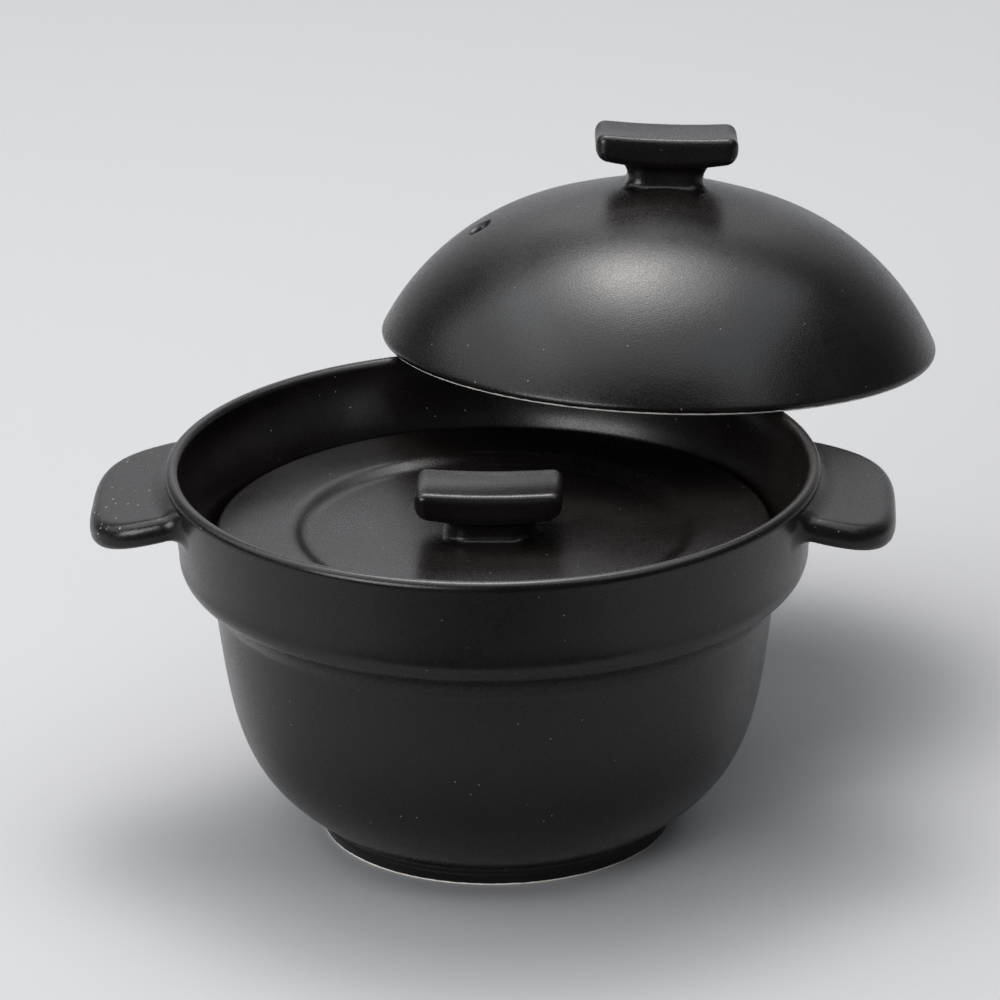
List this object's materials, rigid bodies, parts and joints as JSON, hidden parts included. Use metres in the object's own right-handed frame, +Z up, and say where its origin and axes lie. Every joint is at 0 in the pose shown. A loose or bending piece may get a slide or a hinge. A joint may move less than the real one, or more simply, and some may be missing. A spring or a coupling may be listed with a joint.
{
  "type": "rice pot",
  "caption": "Round ceramic rice pot with side lugs, a flat inner lid and a domed outer lid, both with bar knobs; the outer lid rests across the back of the rim.",
  "frame": {"origin": "centre of the foot ring's lower face", "axes": "+Z up along the pot's axis, X through the two lugs, +Y towards the side where the outer lid rests"},
  "size_m": [0.2601, 0.3071, 0.1834],
  "materials": {
    "pot_glaze": "satin",
    "inner_lid_glaze": "satin",
    "outer_lid_glaze": "satin"
  },
  "bodies": {
    "root": {"pot": "pot_glaze", "inner_lid": "inner_lid_glaze", "outer_lid": "outer_lid_glaze"}
  },
  "joints": []
}
